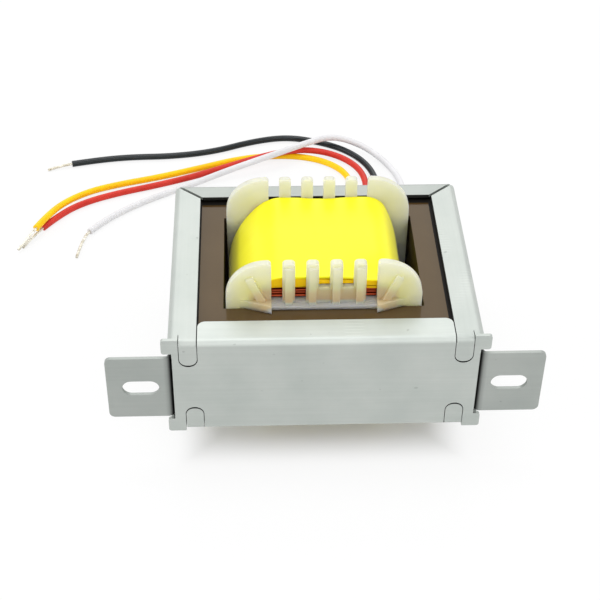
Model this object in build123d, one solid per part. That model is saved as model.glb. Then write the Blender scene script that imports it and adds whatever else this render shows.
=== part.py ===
"""Open-frame isolation transformer with a stacked core, a two-winding bobbin and flying leads.

X runs along the mounting ears, Y from the base plate to the back of the frame, and Z up.
The part rests on the lower fins of its bobbin, with the origin under its middle.
"""
import os
from math import atan2, cos, degrees, hypot, radians, sin, tan

from build123d import *

# Core laminations
centre_leg = 22.0
outer_leg = 11.0
window_width = 11.0
window_length = 33.0
yoke = 11.0
stack_height = 23.0

# Folded sheet of the clamp frame and the base plate
sheet = 0.8
bend = 0.6
stack_gap = 0.6
side_flange = 6.2
low_side_extra = 0.9
back_flange = 5.3
mitre_slit = 0.7

# Mounting ears
ear_reach = 13.5
ear_height = 17.0
ear_corner = 1.3
ear_relief = 0.6
ear_relief_depth = 3.0
slot_spacing = 80.0
slot_length = 8.0
slot_width = 4.0

# Tabs of the frame, and the pockets of the base plate that take them
tab_width = 3.8
tab_length = 6.5
tab_round_share = 0.45
tab_clearance = 0.15
tab_end_gap = 0.45
tab_relief_depth = 2.6
pocket_neck = 1.6

# Flanges, hooks and feet of the base plate
plate_flange = 6.8
plate_corner = 1.7
hook_reach = 1.35
hook_height = 3.8
hook_rise = 0.6
foot_reach = 0.7
foot_height = 3.7
foot_drop = 0.2
hook_corner = 0.6

# Bobbin
bobbin_height = 46.8
flange_side_gap = 0.6
shoulder_radius = 9.0
bobbin_flange = 1.6
tube_wall = 1.2
leg_clearance = 0.2
end_clearance = 0.2
fin_pitch = 5.15
fin_slot = 2.45
fin_round = 0.9
web_drop = 1.8
rib_width = 1.65
rib_proud = 0.8
base_proud = 1.2
base_height = 1.0
brace_head_inset = 5.1
brace_head_drop = 3.5
brace_foot_inset = 1.9
brace_foot_drop = 0.4
wedge_inset = 0.3
wedge_length = 7.0
wedge_proud = 2.5
wedge_height = 2.0

# Windings and tapes, as built up over the top and bottom of the bobbin's tube
tube_round = 0.8
primary_build = 2.9
separator_build = 0.2
secondary_build = 2.1
wrap_build = 0.4
margin = 2.0
left_gap = 0.9
right_gap = 2.7
left_head = 4.0
right_head = 1.2
left_turn = 46.0
right_turn = 25.0

# Flying leads
lead_diameter = 1.8
tip_diameter = 0.8
lead_straight = 6.5
slot_play = 0.15
bend_share = 0.45

# Sizes that follow
core_width = centre_leg + 2 * (window_width + outer_leg)
core_depth = window_length + 2 * yoke
fold = bend + sheet
frame_width = core_width + 2 * sheet
frame_height = stack_height + 2 * (stack_gap + sheet)
frame_depth = core_depth + 3 * sheet
front = -frame_depth / 2
back = frame_depth / 2
wall_edge = front + sheet
core_front = front + 2 * sheet
middle = bobbin_height / 2
frame_top = frame_height / 2
frame_side = frame_width / 2
core_side = core_width / 2
window_front = core_front + yoke
coil_centre = window_front + window_length / 2
flange_edge = frame_side - side_flange
low_edge = flange_edge - low_side_extra
pocket_width = tab_width + 2 * tab_clearance
pocket_centre = flange_edge + tab_width / 2
pocket_inner = pocket_centre - pocket_width / 2
pocket_outer = pocket_centre + pocket_width / 2

bobbin_width = centre_leg + 2 * (window_width - flange_side_gap)
hole_half_x = centre_leg / 2 + leg_clearance
hole_half_z = stack_height / 2 + leg_clearance
tube_half_x = hole_half_x + tube_wall
tube_half_z = hole_half_z + tube_wall
brace_head = (bobbin_width / 2 - brace_head_inset, bobbin_height / 2 - brace_head_drop)
brace_foot = (hole_half_x + brace_foot_inset, tube_half_z - brace_foot_drop)
wedge_inner = hole_half_x + wedge_inset
wedge_outer = wedge_inner + wedge_length
bobbin_end = window_length / 2 - end_clearance
coil_end = bobbin_end - bobbin_flange
separator_start = primary_build
secondary_start = separator_start + separator_build
wrap_start = secondary_start + secondary_build
full_build = wrap_start + wrap_build
shallow_slot = tube_half_z + full_build - web_drop
left_slack = centre_leg / 2 + window_width - left_gap - tube_half_x
right_slack = centre_leg / 2 + window_width - right_gap - tube_half_x
slot_places = [(i - 2) * fin_pitch for i in range(5)]
fin_places = [(i - 1.5) * fin_pitch for i in range(4)]


def block(x0, x1, y0, y1, z0, z1):
    """A box between two corners, with heights measured from the coil's axis."""
    size = Box(x1 - x0, y1 - y0, z1 - z0)
    return Pos((x0 + x1) / 2, (y0 + y1) / 2, (z0 + z1) / 2) * size


def slab(outline, y0, y1):
    """An outline drawn in X and Z, made solid from one place along Y to another."""
    plane = Plane(origin=(0, y0, 0), x_dir=(1, 0, 0), z_dir=(0, -1, 0))
    return extrude(plane * outline, y1 - y0, dir=(0, 1, 0))


def place(solid):
    """Lift a solid that was made about the coil's axis to its place on the floor."""
    return Pos(0, 0, middle) * solid


def both_sides(solid):
    """A solid and its mirror image across the part's middle plane."""
    return solid + mirror(solid, Plane.YZ)


def top_and_bottom(solid):
    """A solid and its mirror image below the coil's axis."""
    return solid + mirror(solid, Plane.XY)


def below(solid):
    """The counterpart of a right-hand top solid at the bottom, where the side flanges are wider."""
    return Pos(-low_side_extra, 0, 0) * mirror(solid, Plane.XY)


def outline_below(outline):
    """The counterpart of a right-hand top outline at the bottom."""
    return Pos(-low_side_extra, 0) * mirror(outline, Plane.XZ)


def folded(corners, outer, inner):
    """The section of a folded strip, with its bend rounded inside and outside."""
    section = Polygon(*corners, align=None)
    section = fillet(section.vertices().sort_by_distance(outer)[0], fold)
    return fillet(section.vertices().sort_by_distance(inner)[0], bend)


def tray(half_width, y0, y1, half_height, radius):
    """A block whose edges are rounded, apart from those of its front face."""
    solid = block(-half_width, half_width, y0, y1, -half_height, half_height)
    rounded = solid.edges().filter_by(lambda edge: edge.center().Y > y0 + radius)
    return fillet(rounded, radius)


def make_ear():
    """One mounting ear, bent outwards from the front edge of the right-hand wall."""
    start = front + ear_relief_depth
    tip = core_side + sheet + ear_reach
    corners = [
        (core_side, start),
        (core_side, front),
        (tip, front),
        (tip, front + sheet),
        (frame_side, front + sheet),
        (frame_side, start),
    ]
    section = folded(corners, (core_side, front), (frame_side, front + sheet))
    ear = Pos(0, 0, -ear_height / 2) * extrude(section, ear_height)
    outer_edges = ear.edges().filter_by(Axis.Y).group_by(Axis.X)[-1]
    ear = fillet(outer_edges, ear_corner)
    slot = Pos(slot_spacing / 2, 0) * SlotOverall(slot_length, slot_width)
    return ear - slab(slot, front - sheet, front + 2 * sheet)


def make_tab():
    """One tab, bent down over the front of the core from the right-hand top flange."""
    start = front + tab_relief_depth
    end = frame_top - tab_length
    corners = [
        (start, frame_top),
        (front, frame_top),
        (front, end),
        (front + sheet, end),
        (front + sheet, frame_top - sheet),
        (start, frame_top - sheet),
    ]
    section = folded(corners, (front, frame_top), (front + sheet, frame_top - sheet))
    tab = Pos(flange_edge, 0, 0) * extrude(Plane.YZ * section, tab_width)
    end_edges = tab.edges().filter_by(Axis.Y).group_by(Axis.Z)[0]
    return fillet(end_edges, tab_round_share * tab_width)


def make_mitre(edge):
    """The cut that parts a side flange with this edge from the back one, at the right-hand top corner."""
    inner = (edge, back - back_flange)
    run = (frame_side - inner[0], back - inner[1])
    length = hypot(*run) + 2 * sheet
    depth = sheet + bend
    cut = Box(length, mitre_slit, 2 * depth)
    centre = Pos(inner[0] + run[0] / 2, inner[1] + run[1] / 2, frame_top)
    return centre * Rot(0, 0, degrees(atan2(run[1], run[0]))) * cut


def make_clamp_frame():
    """One folded sheet round the sides and back of the core, with flanges, ears and tabs."""
    outer = tray(frame_side, wall_edge, back, frame_top, fold)
    inner = tray(core_side, wall_edge - sheet, back - sheet, frame_top - sheet, bend)
    back_edge = back - back_flange
    wrap = outer - inner
    wrap -= block(-flange_edge, flange_edge, front, back_edge, 0, frame_height)
    wrap -= block(-low_edge, low_edge, front, back_edge, -frame_height, 0)
    ear_room = ear_height / 2 + ear_relief
    ear_cut = block(
        core_side - sheet, frame_side + sheet, front, front + ear_relief_depth, -ear_room, ear_room
    )
    tab_cut = block(
        flange_edge - sheet,
        flange_edge + tab_width + tab_clearance,
        front,
        front + tab_relief_depth,
        frame_top - fold,
        frame_height,
    )
    wrap -= both_sides(ear_cut)
    wrap -= both_sides(tab_cut + below(tab_cut))
    wrap -= both_sides(make_mitre(flange_edge) + mirror(make_mitre(low_edge), Plane.XY))
    wrap += both_sides(make_ear())
    tab = make_tab()
    wrap += both_sides(tab + below(tab))
    return place(wrap)


def pocket_outline(grow):
    """The round-ended outline of the right-hand top pocket, larger all round by a wall."""
    width = pocket_width + 2 * grow
    low = frame_top - tab_length - tab_end_gap - grow
    arc_height = low + width / 2
    half = width / 2
    column = rectangle_between(pocket_centre - half, pocket_centre + half, arc_height, frame_height)
    return column + Pos(pocket_centre, arc_height) * Circle(half)


def rectangle_between(x0, x1, z0, z1):
    """A flat rectangle between two corners."""
    return Pos((x0 + x1) / 2, (z0 + z1) / 2) * Rectangle(x1 - x0, z1 - z0)


def make_plate_side():
    """The right-hand end of the base plate: a panel with a hook at its top and a foot below."""
    panel = rectangle_between(pocket_inner - fold, core_side, -frame_top + fold, frame_top - fold)
    hook_top = frame_top + hook_rise
    foot_bottom = -frame_top - foot_drop
    panel += rectangle_between(
        pocket_outer, frame_side + hook_reach, hook_top - hook_height, hook_top
    )
    panel += rectangle_between(
        pocket_outer - low_side_extra, frame_side + foot_reach, foot_bottom, foot_bottom + foot_height
    )
    tips = panel.vertices().filter_by(lambda corner: corner.X > frame_side)
    return slab(fillet(tips, hook_corner), front, wall_edge)


def make_base_plate():
    """One folded sheet across the front of the core, flanged over its top and bottom."""
    rear = front + plate_flange
    outer = block(-pocket_inner, pocket_inner, front, rear, -frame_top, frame_top)
    outer = fillet(outer.edges().filter_by(Axis.X).group_by(Axis.Y)[0], fold)
    inside_top = frame_top - sheet
    inner = block(-core_side, core_side, wall_edge, back, -inside_top, inside_top)
    inner = fillet(inner.edges().filter_by(Axis.X).group_by(Axis.Y)[0], bend)
    low_end = block(
        pocket_inner - low_side_extra, pocket_inner, front, rear, -frame_top, -frame_top + fold
    )
    channel = outer - inner - both_sides(low_end)
    rear_corners = channel.edges().filter_by(Axis.Z).group_by(Axis.Y)[-1]
    plate = fillet(rear_corners, plate_corner) + both_sides(make_plate_side())
    pocket = pocket_outline(0)
    pocket += outline_below(pocket)
    plate -= both_sides(slab(pocket, front, wall_edge))
    floor = pocket_outline(sheet) & rectangle_between(0, core_side, 0, frame_top - pocket_neck)
    floor += outline_below(floor)
    return place(plate + both_sides(slab(floor, wall_edge, core_front)))


def make_e_stack():
    """The E laminations: a yoke at the back with three legs that reach to the I laminations."""
    half = stack_height / 2
    window_back = window_front + window_length
    body = block(-core_side, core_side, window_front, core_front + core_depth, -half, half)
    body = chamfer(body.edges().filter_by(Axis.Z).group_by(Axis.Y)[-1], bend)
    inner = centre_leg / 2
    window = block(inner, inner + window_width, window_front, window_back, -half, half)
    return place(body - both_sides(window))


def make_i_stack():
    """The I laminations that close the core behind the base plate."""
    half = stack_height / 2
    return place(block(-core_side, core_side, core_front, window_front, -half, half))


def slot_cutter(position, floor):
    """One slot of a bobbin flange, open at the top, with a rounded mouth between the fins."""
    top = bobbin_height / 2
    slot = rectangle_between(position - fin_slot / 2, position + fin_slot / 2, floor, top)
    reach = fin_slot / 2 + fin_round
    mouth = rectangle_between(position - reach, position + reach, top - fin_round, top)
    for side in (-1, 1):
        mouth -= Pos(position + side * reach, top - fin_round) * Circle(fin_round)
    return slot + mouth


def make_flange_ribs():
    """The raised parts on the upper half of a flange, standing out along +Y from Y = 0."""
    rib_low = hole_half_z + base_height
    rib_high = bobbin_height / 2 - fin_round
    ribs = block(-wedge_inner, wedge_inner, 0, base_proud, hole_half_z, rib_low)
    for fin in fin_places:
        ribs += block(fin - rib_width / 2, fin + rib_width / 2, 0, rib_proud, rib_low, rib_high)
    rise = brace_head[1] - brace_foot[1]
    run = brace_head[0] - brace_foot[0]
    brace = Rot(0, -degrees(atan2(rise, run)), 0) * Box(hypot(rise, run), rib_proud, rib_width)
    brace_x = (brace_head[0] + brace_foot[0]) / 2
    brace_z = (brace_head[1] + brace_foot[1]) / 2
    brace = Pos(brace_x, rib_proud / 2, brace_z) * brace
    wedge = Polygon((wedge_inner, 0), (wedge_outer, 0), (wedge_inner, wedge_proud), align=None)
    wedge = Pos(0, 0, hole_half_z) * extrude(wedge, wedge_height)
    ribs += both_sides(brace)
    ribs += both_sides(wedge)
    return ribs


def make_bobbin():
    """One moulding: a square tube over the centre leg, with a slotted flange at each end."""
    outline = RectangleRounded(bobbin_width, bobbin_height, shoulder_radius)
    shallow = slot_places[2:4]
    for position in slot_places:
        floor = shallow_slot if position in shallow else tube_half_z
        outline -= slot_cutter(position, floor)
        outline -= mirror(slot_cutter(position, tube_half_z), Plane.XZ)
    hole = Rectangle(2 * hole_half_x, 2 * hole_half_z)
    flange = slab(outline - hole, coil_end, bobbin_end)
    flange += Pos(0, bobbin_end, 0) * top_and_bottom(make_flange_ribs())
    tube = slab(tube_section() - hole, -coil_end, coil_end)
    bobbin = tube + flange + mirror(flange, Plane.XZ)
    return place(Pos(0, coil_centre, 0) * bobbin)


def coil_shoulder(side, head, top, turn):
    """One shoulder of the coil: a wide arc that rises from its side, then a tighter one to its top."""
    width = abs(side - head)
    share = sin(turn) + cos(turn) - 1
    wide = (top * cos(turn) - width * (1 - sin(turn))) / share
    tight = (width * sin(turn) - top * (1 - cos(turn))) / share
    way = 1 if side > head else -1
    rise = JernArc((side, 0), (0, 1), wide, way * degrees(turn))
    return [rise, JernArc(rise @ 1, rise % 1, tight, way * (90 - degrees(turn)))]


def coil_section(build):
    """The outline of the coil at one depth of build, slacker at its left side than its right."""
    share = build / full_build
    top = tube_half_z + build
    left_side = -tube_half_x - share * left_slack
    right_side = tube_half_x + share * right_slack
    left = coil_shoulder(left_side, share * left_head - tube_half_x, top, radians(share * left_turn))
    right = coil_shoulder(right_side, tube_half_x - share * right_head, top, radians(share * right_turn))
    crown = Line(left[1] @ 1, right[1] @ 1)
    upper = Curve() + [*left, crown, *right]
    return make_face(upper + mirror(upper, Plane.XZ))


def tube_section():
    """The outside of the bobbin's tube, on which the first winding lies."""
    return RectangleRounded(2 * tube_half_x, 2 * tube_half_z, tube_round)


def coil_layer(outside, inside, y0, y1):
    """One layer of the coil between two sections, from one end to the other."""
    return place(slab(outside - inside, coil_centre + y0, coil_centre + y1))


def make_coil():
    """The windings and tapes by name, from the bobbin's tube outwards."""
    tube = tube_section()
    separator_inside = coil_section(separator_start)
    secondary_inside = coil_section(secondary_start)
    wrap_inside = coil_section(wrap_start)
    wrap_outside = coil_section(full_build)
    wound_end = coil_end - margin
    return {
        "primary_winding": coil_layer(separator_inside, tube, -coil_end, coil_end),
        "winding_separator": coil_layer(secondary_inside, separator_inside, -coil_end, coil_end),
        "secondary_winding": coil_layer(wrap_inside, secondary_inside, -wound_end, wound_end),
        "front_margin_tape": coil_layer(wrap_inside, secondary_inside, -coil_end, -wound_end),
        "rear_margin_tape": coil_layer(wrap_inside, secondary_inside, wound_end, coil_end),
        "outer_tape": coil_layer(wrap_outside, wrap_inside, -coil_end, coil_end),
    }


# Where the leads leave the coil, through the lower slots of the rear flange
lead_exit = coil_centre + coil_end
primary_exit = middle - tube_half_z - slot_play - lead_diameter / 2
secondary_exit = middle - tube_half_z - (secondary_start + wrap_start) / 2

# Routes of the leads from the coil to the stripped ends, along the floor behind the frame
white_route = [
    (slot_places[4], lead_exit, primary_exit),
    (slot_places[4], lead_exit + lead_straight, primary_exit),
    (11.5, 29.1, 6.9),
    (14.3, 39.1, 3.4),
    (18.4, 49.6, 1.3),
    (23.2, 60.0, 0.95),
    (27.2, 70.0, 0.95),
    (27.7, 79.2, 0.95),
    (24.0, 88.9, 1.2),
    (17.3, 96.3, 2.4),
    (8.4, 98.4, 4.4),
    (-1.1, 92.4, 5.0),
    (-10.5, 86.9, 4.9),
    (-21.0, 83.8, 2.8),
    (-30.9, 80.0, 0.95),
    (-40.9, 74.1, 0.95),
    (-49.4, 68.3, 0.95),
    (-56.2, 62.1, 0.95),
    (-59.8, 57.3, 0.95),
]
white_tip_route = [(-59.8, 57.3, 0.95), (-61.3, 55.4, 0.95), (-62.5, 46.6, 0.5)]
black_route = [
    (slot_places[3], lead_exit, primary_exit),
    (slot_places[3], lead_exit + lead_straight, primary_exit),
    (5.9, 29.1, 6.9),
    (8.1, 39.1, 3.4),
    (11.5, 49.6, 1.3),
    (15.7, 60.0, 0.95),
    (19.2, 70.0, 0.95),
    (20.7, 79.4, 0.95),
    (18.4, 88.4, 0.95),
    (12.7, 95.6, 0.95),
    (4.9, 100.1, 0.95),
    (-4.6, 102.9, 0.95),
    (-15.0, 100.7, 0.95),
    (-26.4, 95.6, 0.95),
    (-38.4, 93.4, 0.95),
    (-50.8, 93.2, 0.95),
    (-60.3, 91.8, 0.95),
    (-67.5, 90.0, 0.95),
]
black_tip_route = [(-67.5, 90.0, 0.95), (-70.3, 89.3, 0.95), (-74.3, 87.7, 0.5)]
red_route = [
    (slot_places[2], lead_exit, secondary_exit),
    (slot_places[2], lead_exit + lead_straight, secondary_exit),
    (1.3, 29.2, 5.2),
    (3.9, 39.1, 2.4),
    (7.7, 49.6, 1.1),
    (11.9, 59.5, 0.95),
    (15.7, 68.5, 0.95),
    (17.6, 77.2, 0.95),
    (16.4, 85.2, 0.95),
    (12.1, 91.2, 1.0),
    (5.4, 94.0, 1.8),
    (-2.6, 93.3, 2.9),
    (-11.5, 90.3, 2.9),
    (-21.5, 87.3, 1.6),
    (-31.4, 83.2, 0.95),
    (-42.4, 78.8, 0.95),
    (-52.3, 75.5, 0.95),
    (-61.3, 71.5, 0.95),
    (-68.1, 66.1, 0.95),
    (-72.7, 59.3, 0.95),
]
red_tip_route = [(-72.7, 59.3, 0.95), (-74.3, 56.9, 0.95), (-77.3, 51.2, 0.45)]
yellow_route = [
    (slot_places[1], lead_exit, secondary_exit),
    (slot_places[1], lead_exit + lead_straight, secondary_exit),
    (-4.1, 29.2, 5.2),
    (-1.5, 39.1, 2.4),
    (2.3, 49.6, 1.1),
    (6.7, 59.0, 0.95),
    (10.7, 68.0, 0.95),
    (13.3, 76.5, 0.95),
    (11.9, 84.0, 0.95),
    (6.9, 89.4, 0.95),
    (-0.6, 92.6, 0.95),
    (-9.5, 93.1, 0.95),
    (-19.0, 91.6, 0.95),
    (-30.4, 87.1, 0.95),
    (-42.4, 82.6, 0.95),
    (-52.8, 79.6, 0.95),
    (-61.3, 75.9, 1.2),
    (-67.9, 69.3, 2.1),
    (-71.9, 61.9, 2.8),
    (-74.1, 56.6, 2.9),
]
yellow_tip_route = [(-74.1, 56.6, 2.9), (-75.3, 53.7, 2.9), (-78.3, 49.5, 1.0)]


def bend_radii(route):
    """The radius at each inner point of a route, as large as its two runs allow."""
    points = [Vector(*point) for point in route]
    radii = []
    for before, at, after in zip(points, points[1:], points[2:]):
        turn = (at - before).get_angle(after - at)
        shorter = min((at - before).length, (after - at).length)
        radii.append(bend_share * shorter / tan(radians(turn / 2)))
    return radii


def make_tube(route, diameter):
    """A round wire along straight runs that are joined by tangent arcs."""
    path = FilletPolyline(*route, radius=bend_radii(route))
    section = Plane(origin=path @ 0, z_dir=path % 0) * Circle(diameter / 2)
    return sweep(section, path=path)


def make_leads():
    """The four insulated leads and their stripped tips, by name."""
    routes = {
        "white": (white_route, white_tip_route),
        "black": (black_route, black_tip_route),
        "red": (red_route, red_tip_route),
        "yellow": (yellow_route, yellow_tip_route),
    }
    pieces = {}
    for colour, (route, tip_route) in routes.items():
        pieces[colour + "_lead"] = make_tube(route, lead_diameter)
        pieces[colour + "_tip"] = make_tube(tip_route, tip_diameter)
        print(colour, "lead bends at radii", [round(radius, 1) for radius in bend_radii(route)])
    return pieces


def main():
    """Make every piece and write each one to a file of its own."""
    pieces = {
        "base_plate": make_base_plate(),
        "clamp_frame": make_clamp_frame(),
        "e_lamination_stack": make_e_stack(),
        "i_lamination_stack": make_i_stack(),
        "bobbin": make_bobbin(),
    }
    pieces.update(make_coil())
    pieces.update(make_leads())
    os.makedirs("parts", exist_ok=True)
    for name, solid in pieces.items():
        export_step(solid, "parts/" + name + ".step")


main()
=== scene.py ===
from math import cos, pi, radians, sin

import bpy
from mathutils import Matrix, Vector


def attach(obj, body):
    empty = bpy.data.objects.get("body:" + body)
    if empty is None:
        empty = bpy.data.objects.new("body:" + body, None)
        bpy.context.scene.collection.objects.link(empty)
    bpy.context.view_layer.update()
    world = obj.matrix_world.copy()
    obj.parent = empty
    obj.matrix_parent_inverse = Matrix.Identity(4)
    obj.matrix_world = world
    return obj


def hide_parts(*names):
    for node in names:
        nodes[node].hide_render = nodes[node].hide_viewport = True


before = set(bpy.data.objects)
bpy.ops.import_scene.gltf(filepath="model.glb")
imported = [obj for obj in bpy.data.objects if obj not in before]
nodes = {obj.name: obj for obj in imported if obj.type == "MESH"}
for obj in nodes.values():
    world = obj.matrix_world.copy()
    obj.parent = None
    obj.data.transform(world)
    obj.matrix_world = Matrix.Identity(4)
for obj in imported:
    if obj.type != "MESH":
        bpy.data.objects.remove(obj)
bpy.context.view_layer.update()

scene = bpy.context.scene
scene.view_settings.view_transform = "Standard"

# The photograph's camera, solved from the edges of the clamp frame
eye = (-0.015465, -0.247358, 0.231213)
look_down = radians(39.99)
look_right = radians(2.523)
camera_roll = radians(0.766)
camera_lens = 83.35
camera_sensor = 36.0

# The white room and its softboxes
room_white = (1.0, 1.0, 1.0, 1.0)
room_light = 0.64
room_seen = 1.0
softboxes = {
    "overhead_softbox": {
        "place": (-0.10, 0.10, 0.85), "aim": (0.0, 0.02, 0.02), "width": 0.45, "power": 2.1,
    },
    "front_softbox": {
        "place": (0.20, -0.80, 0.50), "aim": (0.0, 0.0, 0.02), "width": 0.8, "power": 2.5,
    },
    "left_softbox": {
        "place": (-0.90, -0.12, 0.40), "aim": (0.0, 0.0, 0.02), "width": 0.6, "power": 2.4,
    },
    "right_softbox": {
        "place": (0.90, -0.12, 0.40), "aim": (0.0, 0.0, 0.02), "width": 0.6, "power": 1.5,
    },
    "rear_softbox": {
        "place": (0.03, 0.95, 0.82), "aim": (0.0, 0.0, 0.02), "width": 0.8, "power": 3.0,
    },
}

# The floor, and its shade under the part
floor_size = 8.0
paper_white = (0.88, 0.88, 0.88, 1.0)
floor_white_share = 0.82
shade_half_x = 0.022
shade_half_y = 0.019
shade_edge = 0.012

# Flying leads
lead_diameter = 0.0018
lead_roundness = 8
lead_steps = 10
line_order = 3
strand_count = 6
strand_radius = 0.000135
strand_lay = 0.0055
strand_roundness = 2

# Routes of the leads, from the coil to the cut end of the insulation
lead_routes = {
    "white": [
        (0.0103, 0.0151, 0.00945),
        (0.0103, 0.0216, 0.00945),
        (0.0115, 0.0291, 0.0069),
        (0.0143, 0.0391, 0.0034),
        (0.0184, 0.0496, 0.0013),
        (0.0232, 0.0600, 0.00095),
        (0.0272, 0.0700, 0.00095),
        (0.0277, 0.0792, 0.00095),
        (0.0240, 0.0889, 0.0012),
        (0.0173, 0.0963, 0.0024),
        (0.0084, 0.0984, 0.0044),
        (-0.0011, 0.0924, 0.0050),
        (-0.0105, 0.0869, 0.0049),
        (-0.0210, 0.0838, 0.0028),
        (-0.0309, 0.0800, 0.00095),
        (-0.0409, 0.0741, 0.00095),
        (-0.0494, 0.0683, 0.00095),
        (-0.0562, 0.0621, 0.00095),
        (-0.0598, 0.0573, 0.00095),
    ],
    "black": [
        (0.00515, 0.0151, 0.00945),
        (0.00515, 0.0216, 0.00945),
        (0.0059, 0.0291, 0.0069),
        (0.0081, 0.0391, 0.0034),
        (0.0115, 0.0496, 0.0013),
        (0.0157, 0.0600, 0.00095),
        (0.0192, 0.0700, 0.00095),
        (0.0207, 0.0794, 0.00095),
        (0.0184, 0.0884, 0.00095),
        (0.0127, 0.0956, 0.00095),
        (0.0049, 0.1001, 0.00095),
        (-0.0046, 0.1029, 0.00095),
        (-0.0150, 0.1007, 0.00095),
        (-0.0264, 0.0956, 0.00095),
        (-0.0384, 0.0934, 0.00095),
        (-0.0508, 0.0932, 0.00095),
        (-0.0603, 0.0918, 0.00095),
        (-0.0675, 0.0900, 0.00095),
    ],
    "red": [
        (0.0, 0.0151, 0.00635),
        (0.0, 0.0216, 0.00635),
        (0.0013, 0.0292, 0.0052),
        (0.0039, 0.0391, 0.0024),
        (0.0077, 0.0496, 0.0011),
        (0.0119, 0.0595, 0.00095),
        (0.0157, 0.0685, 0.00095),
        (0.0176, 0.0772, 0.00095),
        (0.0164, 0.0852, 0.00095),
        (0.0121, 0.0912, 0.0010),
        (0.0054, 0.0940, 0.0018),
        (-0.0026, 0.0933, 0.0029),
        (-0.0115, 0.0903, 0.0029),
        (-0.0215, 0.0873, 0.0016),
        (-0.0314, 0.0832, 0.00095),
        (-0.0424, 0.0788, 0.00095),
        (-0.0523, 0.0755, 0.00095),
        (-0.0613, 0.0715, 0.00095),
        (-0.0681, 0.0661, 0.00095),
        (-0.0727, 0.0593, 0.00095),
    ],
    "yellow": [
        (-0.00515, 0.0151, 0.00635),
        (-0.00515, 0.0216, 0.00635),
        (-0.0041, 0.0292, 0.0052),
        (-0.0015, 0.0391, 0.0024),
        (0.0023, 0.0496, 0.0011),
        (0.0067, 0.0590, 0.00095),
        (0.0107, 0.0680, 0.00095),
        (0.0133, 0.0765, 0.00095),
        (0.0119, 0.0840, 0.00095),
        (0.0069, 0.0894, 0.00095),
        (-0.0006, 0.0926, 0.00095),
        (-0.0095, 0.0931, 0.00095),
        (-0.0190, 0.0916, 0.00095),
        (-0.0304, 0.0871, 0.00095),
        (-0.0424, 0.0826, 0.00095),
        (-0.0528, 0.0796, 0.00095),
        (-0.0613, 0.0759, 0.0012),
        (-0.0679, 0.0693, 0.0021),
        (-0.0719, 0.0619, 0.0028),
        (-0.0741, 0.0566, 0.0029),
    ],
}

# Routes of the stripped ends
tip_routes = {
    "white": [(-0.0598, 0.0573, 0.00095), (-0.0613, 0.0554, 0.00095), (-0.0625, 0.0466, 0.0005)],
    "black": [(-0.0675, 0.0900, 0.00095), (-0.0703, 0.0893, 0.00095), (-0.0743, 0.0877, 0.0005)],
    "red": [(-0.0727, 0.0593, 0.00095), (-0.0743, 0.0569, 0.00095), (-0.0773, 0.0512, 0.00045)],
    "yellow": [(-0.0741, 0.0566, 0.0029), (-0.0753, 0.0537, 0.0029), (-0.0783, 0.0495, 0.0010)],
}

# The coil about its axis: build is the depth wound over the bobbin's tube
coil_height = 0.0234
coil_front = -0.0143
coil_rear = 0.0151
tube_half_x = 0.0124
tube_half_z = 0.0129
full_build = 0.0056
left_slack = 0.0087
right_slack = 0.0069
left_head = 0.0040
right_head = 0.0012
left_turn = radians(46.0)
right_turn = radians(25.0)
tight_steps = 8
wide_steps = 16
flat_steps = 10
coil_top = coil_height + tube_half_z + full_build

# Places where the wound coil has settled: first drawn down, then two fuller ones and a dip
settlings = (
    {"spot": (0.0115, coil_front, coil_top), "shift": (-0.0002, 0.0, -0.0011), "reach": 0.0085},
    {"spot": (-0.0080, coil_rear, coil_top), "shift": (0.0, 0.0, 0.00030), "reach": 0.0085},
    {"spot": (0.0095, coil_rear, coil_top), "shift": (0.0, 0.0, 0.00025), "reach": 0.0075},
    {"spot": (0.0005, coil_rear, coil_top), "shift": (0.0, 0.0, -0.00018), "reach": 0.0065},
)

# Yellow tape: the turns below, and the last turn over them
under_build = 0.00548
under_thickness = 0.00028
under_gap = 0.00006
last_thickness = 0.00014
last_front_gap = 0.00015
last_rear_gap = 0.00055
tape_rings = 14

# Primary wire, and the room for two rings of it at each end of the winding's body
wire_diameter = 0.000725
wire_roundness = 3
layer_starts = (0.00003, 0.00022, 0.00008, 0.00026)
ring_room = 1.8 * wire_diameter
end_play = 0.00006

# Joined points and creases of the finished meshes
weld_distance = 0.00001
crease_angle = radians(40.0)

# Cut edges of the flanges over the core, painted near black: bare sheared steel, and painted shade
# of the gap under them
top_flange_edge = 0.0276
low_flange_edge = 0.0267
back_edge = 0.0234
flange_level = 0.0117
edge_play = 0.00008

# Pockets for the frame's tabs, painted dark inside as painted shade
pocket_front = -0.02860
pocket_floor = -0.02782
pocket_inner = 0.0235
pocket_outer = 0.0332
pocket_top = 0.0110

# Painted light and shade of the sheet: painted light on the base plate's flanges, painted shade on
# the back flange
plate_flange_rear = -0.0218
plate_flange_end = 0.0275
plate_painted_light = 0.10
back_painted_shade = 0.17

# Painted shade along an ear, from near black in its bend to dimmer over its face
ear_start = 0.03295
ear_end = 0.0362
ear_bend_rear = -0.0264
ear_half = 0.0086
ear_shade_stops = ((0.0, 1.0), (0.006, 0.02), (0.13, 0.04), (0.36, 0.58), (0.60, 0.78))

# Stretch of the rolled grain
grain_along = 30.0
grain_across = 1500.0

# Painted shade and reflection on the varnish, where the sample's core meets its flanges:
# near-black rims beside the flanges, and an amber painted reflection band before the back flange
stack_half = 0.0115
reflection_band_rear = 0.0211
rim_rear = 0.0221
rim_right = 0.0269
rim_left = -0.0273
sheet_edge_share = 0.6

# The nylon's painted glow, the coil's colours painted in as light through the flanges: where its
# flanges lie, and the depth of coil behind them
bobbin_middle = 0.0004
flange_inside = 0.0148
flange_face = 0.0162
inner_glow = 0.55
depth_round = 0.004
glow_depth = 0.008
glow_tones = (
    (0.02, (1.0, 0.98, 0.88)),
    (0.10, (1.0, 0.68, 0.44)),
    (0.38, (1.0, 0.76, 0.48)),
    (0.54, (1.0, 0.94, 0.56)),
    (0.75, (1.0, 0.955, 0.64)),
    (1.0, (0.965, 0.945, 0.75)),
)

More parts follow.
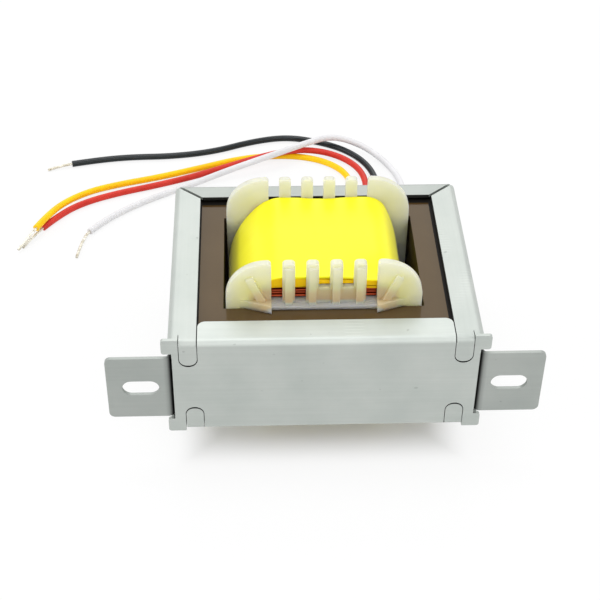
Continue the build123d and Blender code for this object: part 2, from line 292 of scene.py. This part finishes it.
# Colours of the finishes: pairs from the darker tone to the lighter one, and single colours
tone_low = 0.3
tone_high = 0.7
steel_pair = ((0.455, 0.490, 0.464), (0.510, 0.540, 0.512))
varnish_pair = ((0.092, 0.059, 0.025), (0.106, 0.069, 0.031))
nylon_pair = ((0.83, 0.845, 0.74), (0.87, 0.88, 0.79))
copper_pair = ((0.16, 0.022, 0.006), (0.28, 0.042, 0.012))
tin_pair = ((0.52, 0.48, 0.38), (0.86, 0.84, 0.77))
amber_pair = ((0.98, 0.60, 0.0), (1.0, 0.67, 0.0))
yellow_pair = ((0.96, 0.90, 0.004), (0.99, 0.94, 0.010))
insulation_pairs = {
    "white": ((0.71, 0.705, 0.72), (0.76, 0.755, 0.77)),
    "black": ((0.006, 0.010, 0.012), (0.010, 0.015, 0.018)),
    "red": ((0.56, 0.030, 0.018), (0.66, 0.042, 0.026)),
    "yellow": ((0.98, 0.55, 0.0), (1.0, 0.62, 0.0)),
}
press_mark_light = (0.58, 0.61, 0.58, 1.0)
# Near black on the cut edges: bare steel and painted shade
cut_edge_bare_and_shaded = (0.035, 0.035, 0.035, 1.0)
# Painted shade in the tab pockets
pocket_painted_shade = (0.008, 0.008, 0.008, 1.0)
# Painted reflection of the back flange on the varnish
varnish_painted_reflection = (0.066, 0.036, 0.010, 1.0)
sheet_edge_dark = (0.010, 0.009, 0.006, 1.0)
# Painted shade on the varnish beside the flanges
rim_painted_shade = (0.004, 0.003, 0.002, 1.0)
tape_sheen = (1.0, 0.95, 0.45, 1.0)

# Roughness and shine of the insulation, glossiest on the black lead
insulation_roughness = {"white": 0.38, "black": 0.24, "red": 0.38, "yellow": 0.38}
insulation_shine = {"white": 0.22, "black": 0.30, "red": 0.22, "yellow": 0.22}
roughness_play = 0.06


def place_camera():
    """The camera at the photograph's viewpoint."""
    bpy.ops.object.camera_add(location=eye)
    camera = bpy.context.object
    turn = Matrix.Rotation(-look_right, 4, "Z")
    turn = turn @ Matrix.Rotation(pi / 2 - look_down, 4, "X")
    turn = turn @ Matrix.Rotation(camera_roll, 4, "Z")
    camera.matrix_world = Matrix.Translation(eye) @ turn
    camera.data.lens = camera_lens
    camera.data.sensor_width = camera_sensor
    scene.camera = camera


def start_finish(name, **constants):
    """A new material with its shader, and the constant values of the shader's own sockets."""
    material = bpy.data.materials.new(name)
    material.use_nodes = True
    tree = material.node_tree
    shader = tree.nodes["Principled BSDF"]
    for socket, value in constants.items():
        shader.inputs[socket.replace("_", " ")].default_value = value
    return material, tree, shader


def add_node(tree, kind, inputs=(), **settings):
    """A node of a finish, with its settings and the values of its unlinked sockets."""
    node = tree.nodes.new(kind)
    for setting, value in settings.items():
        setattr(node, setting, value)
    for socket, value in dict(inputs).items():
        node.inputs[socket].default_value = value
    return node


def paint(tree, shader, colour, roughness):
    """Give a shader its colour and its roughness."""
    tree.links.new(colour, shader.inputs["Base Color"])
    tree.links.new(roughness, shader.inputs["Roughness"])


def raise_surface(tree, shader, height, strength, distance):
    """Fine relief on the shader's normal."""
    bump = add_node(tree, "ShaderNodeBump", {"Strength": strength, "Distance": distance})
    tree.links.new(height, bump.inputs["Height"])
    tree.links.new(bump.outputs["Normal"], shader.inputs["Normal"])


def feed(tree, node, socket, value):
    """Give a node's socket a number, a colour or another node's output."""
    if isinstance(value, bpy.types.NodeSocket):
        tree.links.new(value, node.inputs[socket])
    else:
        node.inputs[socket].default_value = value


def object_place(tree, stretch=(1.0, 1.0, 1.0)):
    """The piece's own coordinates, stretched along one or more axes."""
    place = add_node(tree, "ShaderNodeTexCoord")
    mapping = add_node(tree, "ShaderNodeMapping", {"Scale": stretch})
    tree.links.new(place.outputs["Object"], mapping.inputs["Vector"])
    return mapping.outputs["Vector"]


def object_grain(tree, scale, detail, stretch=(1.0, 1.0, 1.0)):
    """Noise on the piece's own coordinates."""
    noise = add_node(tree, "ShaderNodeTexNoise", {"Scale": scale, "Detail": detail})
    tree.links.new(object_place(tree, stretch), noise.inputs["Vector"])
    return noise.outputs["Fac"]


def object_bands(tree, direction, scale, distortion, detail):
    """Bands across one axis of the piece's own coordinates."""
    wave = add_node(
        tree,
        "ShaderNodeTexWave",
        {"Scale": scale, "Distortion": distortion, "Detail": detail},
        wave_type="BANDS",
        bands_direction=direction,
    )
    tree.links.new(object_place(tree), wave.inputs["Vector"])
    return wave.outputs["Fac"]


def ramp(tree, factor, stops):
    """A colour ramp over a factor, with stops of place and colour."""
    node = add_node(tree, "ShaderNodeValToRGB")
    elements = node.color_ramp.elements
    while len(elements) < len(stops):
        elements.new(0.5)
    for element, (place, colour) in zip(elements, stops):
        element.position = place
        element.color = (*colour, 1.0)
    tree.links.new(factor, node.inputs["Fac"])
    return node.outputs["Color"]


def two_tones(tree, factor, pair):
    """A colour that goes from the darker to the lighter of a pair."""
    return ramp(tree, factor, [(tone_low, pair[0]), (tone_high, pair[1])])


def grey_ramp(tree, factor, stops):
    """A ramp of greys over a factor."""
    return ramp(tree, factor, [(place, (grey, grey, grey)) for place, grey in stops])


def mix_colours(tree, factor, first, second, blend="MIX"):
    """Two colours or colour sockets mixed by a factor or factor socket."""
    node = add_node(tree, "ShaderNodeMix", data_type="RGBA", blend_type=blend)
    for socket, value in ((0, factor), (6, first), (7, second)):
        feed(tree, node, socket, value)
    return node.outputs[2]


def shade(tree, colour, tone):
    """A colour multiplied by a tone."""
    return mix_colours(tree, 1.0, colour, tone, "MULTIPLY")


def spread(tree, value, low, high, start=0.0, end=1.0, **settings):
    """A value carried from the range of start to end over to the range of low to high."""
    limits = {"From Min": start, "From Max": end, "To Min": low, "To Max": high}
    node = add_node(tree, "ShaderNodeMapRange", limits, **settings)
    tree.links.new(value, node.inputs["Value"])
    return node.outputs["Result"]


def reckon(tree, operation, *values):
    """One step of arithmetic on sockets and numbers."""
    node = add_node(tree, "ShaderNodeMath", operation=operation)
    for socket, value in enumerate(values):
        feed(tree, node, socket, value)
    return node.outputs[0]


def all_of(tree, *masks):
    """The product of masks, which is 1 only where every one of them is 1."""
    found = masks[0]
    for mask in masks[1:]:
        found = reckon(tree, "MULTIPLY", found, mask)
    return found


def any_of(tree, *masks):
    """The highest of masks, which is 1 where one or more of them are 1."""
    found = masks[0]
    for mask in masks[1:]:
        found = reckon(tree, "MAXIMUM", found, mask)
    return found


def above(tree, value, limit):
    """1 where a value lies over a limit, else 0."""
    return reckon(tree, "GREATER_THAN", value, limit)


def below(tree, value, limit):
    """1 where a value lies under a limit, else 0."""
    return reckon(tree, "LESS_THAN", value, limit)


def close_to(tree, value, place):
    """1 where a value lies at a place, give or take the play of an edge, else 0."""
    return reckon(tree, "COMPARE", value, place, edge_play)


def between(tree, value, low, high):
    """1 where a value lies between two limits, else 0."""
    return all_of(tree, above(tree, value, low), below(tree, value, high))


def own_axis(tree, axis):
    """One of the piece's own coordinates, by the name of its axis."""
    axes = add_node(tree, "ShaderNodeSeparateXYZ")
    tree.links.new(object_place(tree), axes.inputs[0])
    return axes.outputs[axis]


def sideways(tree):
    """The distance from the middle along X, to either side."""
    return reckon(tree, "ABSOLUTE", own_axis(tree, "X"))


def over_coil_axis(tree):
    """The height over the coil's axis, which is negative under it."""
    return reckon(tree, "SUBTRACT", own_axis(tree, "Z"), coil_height)


def off_coil_axis(tree):
    """The distance from the height of the coil's axis, up or down."""
    return reckon(tree, "ABSOLUTE", over_coil_axis(tree))


def shaded_cut_edges(tree):
    """1 on the cut edges of the flanges over the core, painted near black as bare steel and
    painted shade, else 0.
    """
    across = sideways(tree)
    along = own_axis(tree, "Y")
    height = over_coil_axis(tree)
    top_edge = all_of(
        tree, close_to(tree, across, top_flange_edge), above(tree, height, flange_level)
    )
    low_edge = all_of(
        tree, close_to(tree, across, low_flange_edge), below(tree, height, -flange_level)
    )
    inside = below(tree, along, back_edge + edge_play)
    sides = all_of(tree, any_of(tree, top_edge, low_edge), inside)
    rear = all_of(tree, close_to(tree, along, back_edge), below(tree, across, top_flange_edge))
    return any_of(tree, sides, rear)


def shaded_pocket_depths(tree):
    """1 below the front face within the four tab pockets, painted dark as painted shade, else 0.
    """
    return all_of(
        tree,
        between(tree, sideways(tree), pocket_inner, pocket_outer),
        between(tree, own_axis(tree, "Y"), pocket_front, pocket_floor),
        below(tree, off_coil_axis(tree), pocket_top),
    )


def flange_painted_light_and_shade(tree):
    """Painted light and shade on the sheet: painted shade on the back flange, and painted light on
    the base plate's flanges.
    """
    across = sideways(tree)
    along = own_axis(tree, "Y")
    level = above(tree, off_coil_axis(tree), flange_level)
    mitre = reckon(tree, "MAXIMUM", reckon(tree, "SUBTRACT", across, top_flange_edge), 0.0)
    behind = reckon(tree, "SUBTRACT", reckon(tree, "SUBTRACT", along, back_edge), mitre)
    back = all_of(tree, level, above(tree, behind, 0.0))
    plate = all_of(
        tree,
        level,
        below(tree, along, plate_flange_rear),
        below(tree, across, plate_flange_end),
    )
    tone = reckon(tree, "SUBTRACT", 1.0, reckon(tree, "MULTIPLY", back, back_painted_shade))
    return reckon(tree, "ADD", tone, reckon(tree, "MULTIPLY", plate, plate_painted_light))


def ear_painted_shade(tree):
    """Painted shade on the ears: near black in the bend beside the base plate, and dimmer over
    their faces.
    """
    reach = spread(tree, sideways(tree), low=0.0, high=1.0, start=ear_start, end=ear_end)
    on_ears = all_of(
        tree,
        reach,
        below(tree, off_coil_axis(tree), ear_half),
        below(tree, own_axis(tree, "Y"), ear_bend_rear),
    )
    return grey_ramp(tree, on_ears, ear_shade_stops)


def rolled_grain(tree):
    """Rolling lines that follow the sheet: along X in front and behind, along Y on the sides."""
    on_sides = all_of(
        tree,
        above(tree, sideways(tree), top_flange_edge),
        above(tree, own_axis(tree, "Y"), pocket_floor),
    )
    along_x = (grain_along, grain_across, grain_across)
    along_y = (grain_across, grain_along, grain_across)
    elsewhere = reckon(tree, "SUBTRACT", 1.0, on_sides)
    lines_x = object_grain(tree, scale=1.0, detail=3.0, stretch=along_x)
    lines_y = object_grain(tree, scale=1.0, detail=3.0, stretch=along_y)
    front = reckon(tree, "MULTIPLY", lines_x, elsewhere)
    sides = reckon(tree, "MULTIPLY", lines_y, on_sides)
    return reckon(tree, "ADD", front, sides)


def press_marks(tree):
    """Short rows of light ticks, in patches."""
    patches = object_grain(tree, scale=150.0, detail=1.0, stretch=(1.0, 0.35, 1.0))
    here = grey_ramp(tree, patches, [(0.60, 0.0), (0.68, 1.0)])
    ticks = object_bands(tree, "Y", scale=330.0, distortion=1.2, detail=1.0)
    return shade(tree, grey_ramp(tree, ticks, [(0.90, 0.0), (0.98, 0.55)]), here)


def zinc_steel():
    """Zinc-coated sheet: rolled grain, soft clouds, press marks and scuffs, with painted light and
    shade on its flanges, ears and tab pockets, and cut edges painted near black as bare steel and
    painted shade.
    """
    material, tree, shader = start_finish("zinc_steel", Metallic=0.55, Specular_IOR_Level=0.3)
    rolled = rolled_grain(tree)
    clouds = object_grain(tree, scale=95.0, detail=4.0)
    scuffs = object_grain(tree, scale=480.0, detail=1.0, stretch=(1.0, 1.0, 1.6))
    colour = two_tones(tree, clouds, steel_pair)
    colour = shade(tree, colour, grey_ramp(tree, rolled, [(0.25, 0.93), (0.75, 1.0)]))
    colour = shade(tree, colour, grey_ramp(tree, scuffs, [(0.765, 1.0), (0.80, 0.80)]))
    colour = mix_colours(tree, press_marks(tree), colour, press_mark_light)
    # Painted light on the base plate's flanges, painted shade on the back flange
    colour = shade(tree, colour, flange_painted_light_and_shade(tree))
    # Painted shade in the ears' bends and over their faces
    colour = shade(tree, colour, ear_painted_shade(tree))
    # Cut edges painted near black: bare sheared steel, and painted shade of the gap under the
    # flanges
    colour = mix_colours(tree, shaded_cut_edges(tree), colour, cut_edge_bare_and_shaded)
    # Painted shade in the tab pockets
    colour = mix_colours(tree, shaded_pocket_depths(tree), colour, pocket_painted_shade)
    paint(tree, shader, colour, spread(tree, rolled, low=0.46, high=0.56))
    raise_surface(tree, shader, rolled, strength=0.08, distance=0.00002)
    return material


def varnish_shaded_rim(tree):
    """1 on the varnish beside the flanges, painted near black as shade, else 0."""
    across = own_axis(tree, "X")
    left = below(tree, across, rim_left)
    right = above(tree, across, rim_right)
    return any_of(tree, left, right, above(tree, own_axis(tree, "Y"), rim_rear))


def sheet_edges(tree):
    """1 on the edges of the stacked sheets, and 0 on the outer faces of the stack."""
    return below(tree, off_coil_axis(tree), stack_half - edge_play)


def core_varnish():
    """Clear brown varnish over the stacked sheets, whose edges show as fine lines, with painted
    shade beside the flanges and a painted reflection band before the back flange.
    """
    material, tree, shader = start_finish(
        "varnished_laminations", IOR=1.46, Specular_IOR_Level=0.18
    )
    blotches = object_grain(tree, scale=60.0, detail=4.0)
    sheets = object_bands(tree, "Z", scale=628.0, distortion=0.4, detail=2.0)
    edges = sheet_edges(tree)
    shaded_rim = varnish_shaded_rim(tree)
    colour = two_tones(tree, blotches, varnish_pair)
    colour = shade(tree, colour, grey_ramp(tree, sheets, [(0.0, 0.55), (0.35, 1.0)]))
    # An amber band before the back flange: painted reflection of the flange
    reflection_band = above(tree, own_axis(tree, "Y"), reflection_band_rear)
    colour = mix_colours(tree, reflection_band, colour, varnish_painted_reflection)
    edge_share = reckon(tree, "MULTIPLY", edges, sheet_edge_share)
    colour = mix_colours(tree, edge_share, colour, sheet_edge_dark)
    # Near-black painted shade beside the flanges
    colour = mix_colours(tree, shaded_rim, colour, rim_painted_shade)
    dull = any_of(tree, shaded_rim, edges)
    paint(tree, shader, colour, spread(tree, dull, low=0.07, high=0.60))
    raise_surface(tree, shader, blotches, strength=0.02, distance=0.0004)
    return material


def coil_depth(tree):
    """The depth into the coil's build that lies behind each point of a flange."""
    across = reckon(tree, "SUBTRACT", sideways(tree), tube_half_x)
    height = reckon(tree, "SUBTRACT", off_coil_axis(tree), tube_half_z)
    return reckon(tree, "SMOOTH_MAX", across, height, depth_round)


def glow_share(tree):
    """How much of the painted glow shows: all outside on the flanges, and less inside."""
    off = reckon(tree, "SUBTRACT", own_axis(tree, "Y"), bobbin_middle)
    off = reckon(tree, "ABSOLUTE", off)
    return spread(tree, off, low=inner_glow, high=1.0, start=flange_inside, end=flange_face)


def natural_nylon():
    """Milky nylon that lets light through, with the coil's colours painted in as a faint glow
    behind the flanges.
    """
    material, tree, shader = start_finish(
        "natural_nylon",
        Subsurface_Weight=1.0,
        Subsurface_Radius=(1.0, 0.95, 0.70),
        Subsurface_Scale=0.0060,
        Transmission_Weight=0.20,
        IOR=1.4,
        Specular_IOR_Level=0.3,
    )
    milk = object_grain(tree, scale=160.0, detail=3.0)
    colour = two_tones(tree, milk, nylon_pair)
    # Painted glow: the coil's colours behind the flanges, painted in as light through the nylon
    depth_share = reckon(tree, "MULTIPLY", coil_depth(tree), 1.0 / glow_depth)
    glowing = shade(tree, colour, ramp(tree, depth_share, glow_tones))
    colour = mix_colours(tree, glow_share(tree), colour, glowing)
    paint(tree, shader, colour, spread(tree, milk, low=0.30, high=0.44))
    raise_surface(tree, shader, milk, strength=0.06, distance=0.0002)
    return material


def enamelled_copper():
    """Copper wire under clear red-brown enamel."""
    material, tree, shader = start_finish(
        "enamelled_copper", Metallic=1.0, Coat_Weight=0.10, Coat_Roughness=0.10
    )
    tone = object_grain(tree, scale=1.0, detail=2.0, stretch=(90.0, 900.0, 900.0))
    colour = two_tones(tree, tone, copper_pair)
    paint(tree, shader, colour, spread(tree, tone, low=0.18, high=0.32))
    return material


def tape_finish(name, pair):
    """Thin polyester tape, drawn tight with faint streaks along its run and a soft sheen."""
    material, tree, shader = start_finish(
        name,
        Specular_IOR_Level=0.25,
        Sheen_Weight=0.35,
        Sheen_Roughness=0.45,
        Sheen_Tint=tape_sheen,
    )
    streaks = object_grain(tree, scale=1.0, detail=3.0, stretch=(20.0, 520.0, 20.0))
    colour = two_tones(tree, streaks, pair)
    paint(tree, shader, colour, spread(tree, streaks, low=0.34, high=0.44))
    raise_surface(tree, shader, streaks, strength=0.03, distance=0.0001)
    return material


def insulation(name):
    """Soft plastic insulation with the faint mottle of an extruded sleeve."""
    material, tree, shader = start_finish(
        name + "_insulation", Specular_IOR_Level=insulation_shine[name]
    )
    mottle = object_grain(tree, scale=220.0, detail=1.0)
    colour = two_tones(tree, mottle, insulation_pairs[name])
    middle = insulation_roughness[name]
    rough = spread(tree, mottle, low=middle - roughness_play, high=middle + roughness_play)
    paint(tree, shader, colour, rough)
    raise_surface(tree, shader, mottle, strength=0.015, distance=0.0001)
    return material


def tinned_strands():
    """Copper strands under a thin coat of tin that lets a warm tone through."""
    material, tree, shader = start_finish("tinned_copper", Metallic=1.0)
    tone = object_grain(tree, scale=900.0, detail=2.0)
    colour = two_tones(tree, tone, tin_pair)
    paint(tree, shader, colour, spread(tree, tone, low=0.22, high=0.38))
    return material


def seen_directly(tree):
    """1 for camera, glossy and transmission rays, and 0 for the rays that light the object."""
    rays = add_node(tree, "ShaderNodeLightPath").outputs
    return any_of(
        tree, rays["Is Camera Ray"], rays["Is Glossy Ray"], rays["Is Transmission Ray"]
    )


def clear_of_part(tree):
    """0 on the floor under the part, rising to 1 outside it."""
    across = reckon(tree, "SUBTRACT", sideways(tree), shade_half_x)
    along = reckon(tree, "ABSOLUTE", own_axis(tree, "Y"))
    along = reckon(tree, "SUBTRACT", along, shade_half_y)
    outside = reckon(tree, "MAXIMUM", across, along)
    return spread(
        tree, outside, low=0.0, high=1.0, end=shade_edge, interpolation_type="SMOOTHSTEP"
    )


def floor_white():
    """White paper that shows as white, and still takes the object's shadow."""
    material = bpy.data.materials.new("floor_white")
    material.use_nodes = True
    tree = material.node_tree
    tree.nodes.remove(tree.nodes["Principled BSDF"])
    paper = add_node(tree, "ShaderNodeBsdfDiffuse", {"Color": paper_white})
    glow = add_node(tree, "ShaderNodeEmission", {"Strength": 1.0})
    mix = add_node(tree, "ShaderNodeMixShader")
    share = reckon(tree, "MULTIPLY", seen_directly(tree), floor_white_share)
    share = reckon(tree, "MULTIPLY", share, clear_of_part(tree))
    tree.links.new(share, mix.inputs["Fac"])
    tree.links.new(paper.outputs[0], mix.inputs[1])
    tree.links.new(glow.outputs[0], mix.inputs[2])
    tree.links.new(mix.outputs[0], tree.nodes["Material Output"].inputs["Surface"])
    return material


def lay_floor():
    """A wide white floor under the part."""
    bpy.ops.mesh.primitive_plane_add(size=floor_size)
    floor = bpy.context.object
    floor.name = "floor"
    floor.data.materials.append(floor_white())


def hang_softbox(name, place, aim, width, power):
    """One square area lamp, turned towards the point that it lights."""
    bpy.ops.object.light_add(type="AREA", location=place)
    lamp = bpy.context.object
    lamp.name = name
    lamp.data.size = width
    lamp.data.energy = power
    lamp.rotation_euler = (Vector(aim) - Vector(place)).to_track_quat("-Z", "Y").to_euler()


def light_studio():
    """A white room with softboxes overhead, in front, on both sides and behind."""
    world = bpy.data.worlds.new("studio")
    scene.world = world
    world.use_nodes = True
    tree = world.node_tree
    background = tree.nodes["Background"]
    background.inputs["Color"].default_value = room_white
    strength = spread(tree, seen_directly(tree), low=room_light, high=room_seen)
    tree.links.new(strength, background.inputs["Strength"])
    for name, softbox in softboxes.items():
        hang_softbox(name, **softbox)


def pick(piece):
    """Make one piece the only one selected."""
    bpy.ops.object.select_all(action="DESELECT")
    piece.select_set(True)
    bpy.context.view_layer.objects.active = piece


def dress(piece, finish, slot, *replaced):
    """Give a finished piece its material and body, and hide the nodes that it stands for."""
    piece.data.materials.clear()
    piece.data.materials.append(finish)
    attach(piece, "root")
    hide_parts(*replaced)


def smooth_line(name, route):
    """A curve with a route's points as its control points."""
    data = bpy.data.curves.new(name, "CURVE")
    data.dimensions = "3D"
    line = data.splines.new("NURBS")
    line.points.add(len(route) - 1)
    for point, place in zip(line.points, route):
        point.co = (*place, 1.0)
    line.order_u = line_order
    line.use_endpoint_u = True
    line.resolution_u = lead_steps
    piece = bpy.data.objects.new(name, data)
    scene.collection.objects.link(piece)
    return piece


def points_along(route):
    """Points read from the smooth line over a route."""
    line = smooth_line("guide_line", route)
    bpy.context.view_layer.update()
    depsgraph = bpy.context.evaluated_depsgraph_get()
    mesh = bpy.data.meshes.new_from_object(line.evaluated_get(depsgraph))
    points = [vertex.co.copy() for vertex in mesh.vertices]
    data = line.data
    bpy.data.objects.remove(line)
    bpy.data.curves.remove(data)
    bpy.data.meshes.remove(mesh)
    return points


def lay_lead(colour):
    """One insulated lead along its route."""
    lead = smooth_line(colour + "_insulated_lead", lead_routes[colour])
    lead.data.bevel_depth = lead_diameter / 2
    lead.data.bevel_resolution = lead_roundness
    lead.data.use_fill_caps = True
    dress(lead, insulation(colour), colour + "_insulation", colour + "_lead")
    return lead


def twist_strand(line, points, strand):
    """Lay one strand round the middle of a lead's bare end; the last strand is the middle one."""
    line.points.add(len(points) - 1)
    reach = 0.0 if strand == strand_count else 2 * strand_radius
    run = 0.0
    for index, point in enumerate(points):
        before = points[max(index - 1, 0)]
        after = points[min(index + 1, len(points) - 1)]
        along = (after - before).normalized()
        side = along.cross(Vector((0.0, 0.0, 1.0))).normalized()
        up = side.cross(along)
        run += (point - before).length
        angle = 2 * pi * (strand / strand_count + run / strand_lay)
        place = point + reach * (cos(angle) * side + sin(angle) * up)
        line.points[index].co = (*place, 1.0)


def twist_tip(colour, finish):
    """The stripped end of a lead: strands laid round a middle one, tinned together."""
    points = points_along(tip_routes[colour])
    data = bpy.data.curves.new(colour + "_twisted_tip", "CURVE")
    data.dimensions = "3D"
    data.bevel_depth = strand_radius
    data.bevel_resolution = strand_roundness
    data.use_fill_caps = True
    for strand in range(strand_count + 1):
        twist_strand(data.splines.new("POLY"), points, strand)
    tip = bpy.data.objects.new(colour + "_twisted_tip", data)
    scene.collection.objects.link(tip)
    pick(tip)
    bpy.ops.object.convert(target="MESH")
    tip = bpy.context.object
    bpy.ops.object.shade_smooth()
    dress(tip, finish, "tinned_copper", colour + "_tip")
    return tip


def lay_leads():
    """The four leads with their tinned tips."""
    tin = tinned_strands()
    for colour in lead_routes:
        lead = lay_lead(colour)
        tip = twist_tip(colour, tin)


def shoulder_radii(width, top, turn):
    """The wide and the tight radius of a shoulder that rises to a top over a width."""
    share = sin(turn) + cos(turn) - 1
    wide = (top * cos(turn) - width * (1 - sin(turn))) / share
    tight = (width * sin(turn) - top * (1 - cos(turn))) / share
    return wide, tight


def sweep_point(centre_x, centre_z, angle, steps):
    """Carry the last point on round a centre, clockwise as seen from the front."""
    centre = (centre_x, 0.0, centre_z)
    bpy.ops.mesh.spin(steps=steps, angle=angle, center=centre, axis=(0.0, -1.0, 0.0))


def run_point(distance):
    """Carry the last point on along X in short steps."""
    step = (distance / flat_steps, 0.0, 0.0)
    for _ in range(flat_steps):
        bpy.ops.mesh.extrude_region_move(TRANSFORM_OT_translate={"value": step})


def draw_turn(name, build):
    """The outline of one turn of the coil at a depth of build, drawn by one point at Y = 0."""
    share = build / full_build
    top = tube_half_z + build
    left_side = tube_half_x + share * left_slack
    right_side = tube_half_x + share * right_slack
    left_flat = tube_half_x - share * left_head
    right_flat = tube_half_x - share * right_head
    left_wide, left_tight = shoulder_radii(left_side - left_flat, top, share * left_turn)
    right_wide, right_tight = shoulder_radii(right_side - right_flat, top, share * right_turn)
    left_bend = pi / 2 - share * left_turn
    right_bend = pi / 2 - share * right_turn
    high = coil_height + top
    low = coil_height - top
    bpy.ops.object.select_all(action="DESELECT")
    bpy.ops.mesh.primitive_plane_add(size=wire_diameter, location=(0.0, 0.0, 0.0))
    piece = bpy.context.object
    piece.name = name
    bpy.ops.object.mode_set(mode="EDIT")
    bpy.ops.mesh.select_all(action="SELECT")
    bpy.ops.mesh.merge(type="CENTER")
    bpy.ops.transform.translate(value=(-left_flat, 0.0, high))
    run_point(left_flat + right_flat)
    sweep_point(right_flat, high - right_tight, right_bend, tight_steps)
    sweep_point(right_side - right_wide, coil_height, 2 * share * right_turn, wide_steps)
    sweep_point(right_flat, low + right_tight, right_bend, tight_steps)
    run_point(-left_flat - right_flat)
    sweep_point(-left_flat, low + left_tight, left_bend, tight_steps)
    sweep_point(left_wide - left_side, coil_height, 2 * share * left_turn, wide_steps)
    sweep_point(-left_flat, high - left_tight, left_bend, tight_steps)
    bpy.ops.mesh.select_all(action="SELECT")
    bpy.ops.mesh.remove_doubles(threshold=weld_distance)
    return piece


def draw_out(front, rear):
    """Move the drawn turn to its front end, and draw it out along Y in rings."""
    bpy.ops.transform.translate(value=(0.0, front, 0.0))
    step = (0.0, (rear - front) / tape_rings, 0.0)
    for _ in range(tape_rings):
        bpy.ops.mesh.extrude_region_move(TRANSFORM_OT_translate={"value": step})
    bpy.ops.mesh.select_all(action="SELECT")
    bpy.ops.mesh.normals_make_consistent(inside=False)


def push(piece, spot, shift, reach):
    """Press or pull the surface near a spot, with the effect fading over a reach."""
    bpy.ops.mesh.select_all(action="DESELECT")
    bpy.ops.object.mode_set(mode="OBJECT")
    nearest = min(piece.data.vertices, key=lambda vertex: (vertex.co - Vector(spot)).length)
    nearest.select = True
    bpy.ops.object.mode_set(mode="EDIT")
    bpy.ops.transform.translate(
        value=shift,
        use_proportional_edit=True,
        proportional_edit_falloff="SMOOTH",
        proportional_size=reach,
    )


def settle_coil(piece):
    """The uneven lie of the wound coil: drawn down in front on the right, and fuller behind."""
    for settling in settlings:
        push(piece, **settling)


def thicken(piece, thickness):
    """Give a drawn-out turn its wall, inwards from its outer face."""
    bpy.ops.object.mode_set(mode="OBJECT")
    wall = piece.modifiers.new("wall", "SOLIDIFY")
    wall.thickness = thickness
    wall.offset = -1.0
    bpy.ops.object.modifier_apply(modifier="wall")


def wrap_turn(name, build, front_gap, rear_gap, thickness):
    """One sleeve of tape at a depth of build, short of the coil's ends by its two gaps."""
    turn = draw_turn(name, build)
    draw_out(coil_front + front_gap, coil_rear - rear_gap)
    settle_coil(turn)
    thicken(turn, thickness)
    return turn


def wrap_tape(finish):
    """The yellow tape: the turns below, and the last turn that stops short of the rear flange."""
    under = wrap_turn("yellow_tape_under", under_build, under_gap, under_gap, under_thickness)
    tape = wrap_turn("yellow_tape_wrap", full_build, last_front_gap, last_rear_gap, last_thickness)
    under.select_set(True)
    bpy.ops.object.join()
    bpy.ops.object.shade_smooth_by_angle(angle=crease_angle)
    dress(tape, finish, "yellow_tape", "outer_tape")


def copy_node(name, piece_name):
    """A copy of a CAD node's solid with its loose triangles joined, left in edit mode."""
    piece = nodes[name].copy()
    piece.data = piece.data.copy()
    piece.name = piece_name
    scene.collection.objects.link(piece)
    pick(piece)
    bpy.ops.object.mode_set(mode="EDIT")
    bpy.ops.mesh.select_all(action="SELECT")
    bpy.ops.mesh.remove_doubles(threshold=weld_distance)
    return piece


def settle_node(name, piece_name, finish, slot):
    """A copy of a coil node that settles as the tape over it does."""
    piece = copy_node(name, piece_name)
    settle_coil(piece)
    bpy.ops.object.mode_set(mode="OBJECT")
    bpy.ops.object.shade_smooth_by_angle(angle=crease_angle)
    dress(piece, finish, slot, name)


def wind_layer(index, start):
    """The two last turns at each end of one layer of wire."""
    draw_turn("wire_layer", (index + 0.5) * wire_diameter)
    bpy.ops.object.mode_set(mode="OBJECT")
    bpy.ops.object.convert(target="CURVE")
    turn = bpy.context.object
    turn.data.bevel_depth = wire_diameter / 2
    turn.data.bevel_resolution = wire_roundness
    bpy.ops.object.convert(target="MESH")
    turn = bpy.context.object
    first = coil_front + start + wire_diameter / 2
    last = coil_rear - start - wire_diameter / 2
    bpy.ops.object.mode_set(mode="EDIT")
    bpy.ops.mesh.select_all(action="SELECT")
    bpy.ops.transform.translate(value=(0.0, first, 0.0))
    here = first
    for place in (first + wire_diameter, last - wire_diameter, last):
        step = (0.0, place - here, 0.0)
        bpy.ops.mesh.duplicate_move(TRANSFORM_OT_translate={"value": step})
        here = place
    bpy.ops.object.mode_set(mode="OBJECT")
    return turn


def draw_in(body, end, shift):
    """Move the points at one end of a body along Y."""
    bpy.ops.mesh.select_all(action="DESELECT")
    bpy.ops.object.mode_set(mode="OBJECT")
    for vertex in body.data.vertices:
        vertex.select = abs(vertex.co.y - end) < end_play
    bpy.ops.object.mode_set(mode="EDIT")
    bpy.ops.transform.translate(value=(0.0, shift, 0.0))


def wind_primary(finish):
    """The primary: its body drawn in at both ends, and there two rings of wire on each layer."""
    body = copy_node("primary_winding", "primary_turns")
    draw_in(body, coil_front, ring_room)
    draw_in(body, coil_rear, -ring_room)
    bpy.ops.object.mode_set(mode="OBJECT")
    layers = [wind_layer(index, start) for index, start in enumerate(layer_starts)]
    pick(body)
    for layer in layers:
        layer.select_set(True)
    bpy.ops.object.join()
    bpy.ops.object.shade_smooth_by_angle(angle=crease_angle)
    dress(body, finish, "enamelled_copper", "primary_winding")


def dress_nodes(amber):
    """A finish for every CAD node that stays in view."""
    steel = zinc_steel()
    varnish = core_varnish()
    finishes = {
        "base_plate": steel,
        "clamp_frame": steel,
        "e_lamination_stack": varnish,
        "i_lamination_stack": varnish,
        "bobbin": natural_nylon(),
        "winding_separator": amber,
        "rear_margin_tape": amber,
    }
    for name, finish in finishes.items():
        nodes[name].data.materials.clear()
        nodes[name].data.materials.append(finish)


place_camera()
lay_leads()
copper_enamel = enamelled_copper()
amber_tape = tape_finish("amber_tape", amber_pair)
wrap_tape(tape_finish("yellow_tape", yellow_pair))
wind_primary(copper_enamel)
settle_node("secondary_winding", "secondary_turns", copper_enamel, "enamelled_copper")
settle_node("front_margin_tape", "front_amber_margin", amber_tape, "amber_tape")
dress_nodes(amber_tape)
lay_floor()
light_studio()
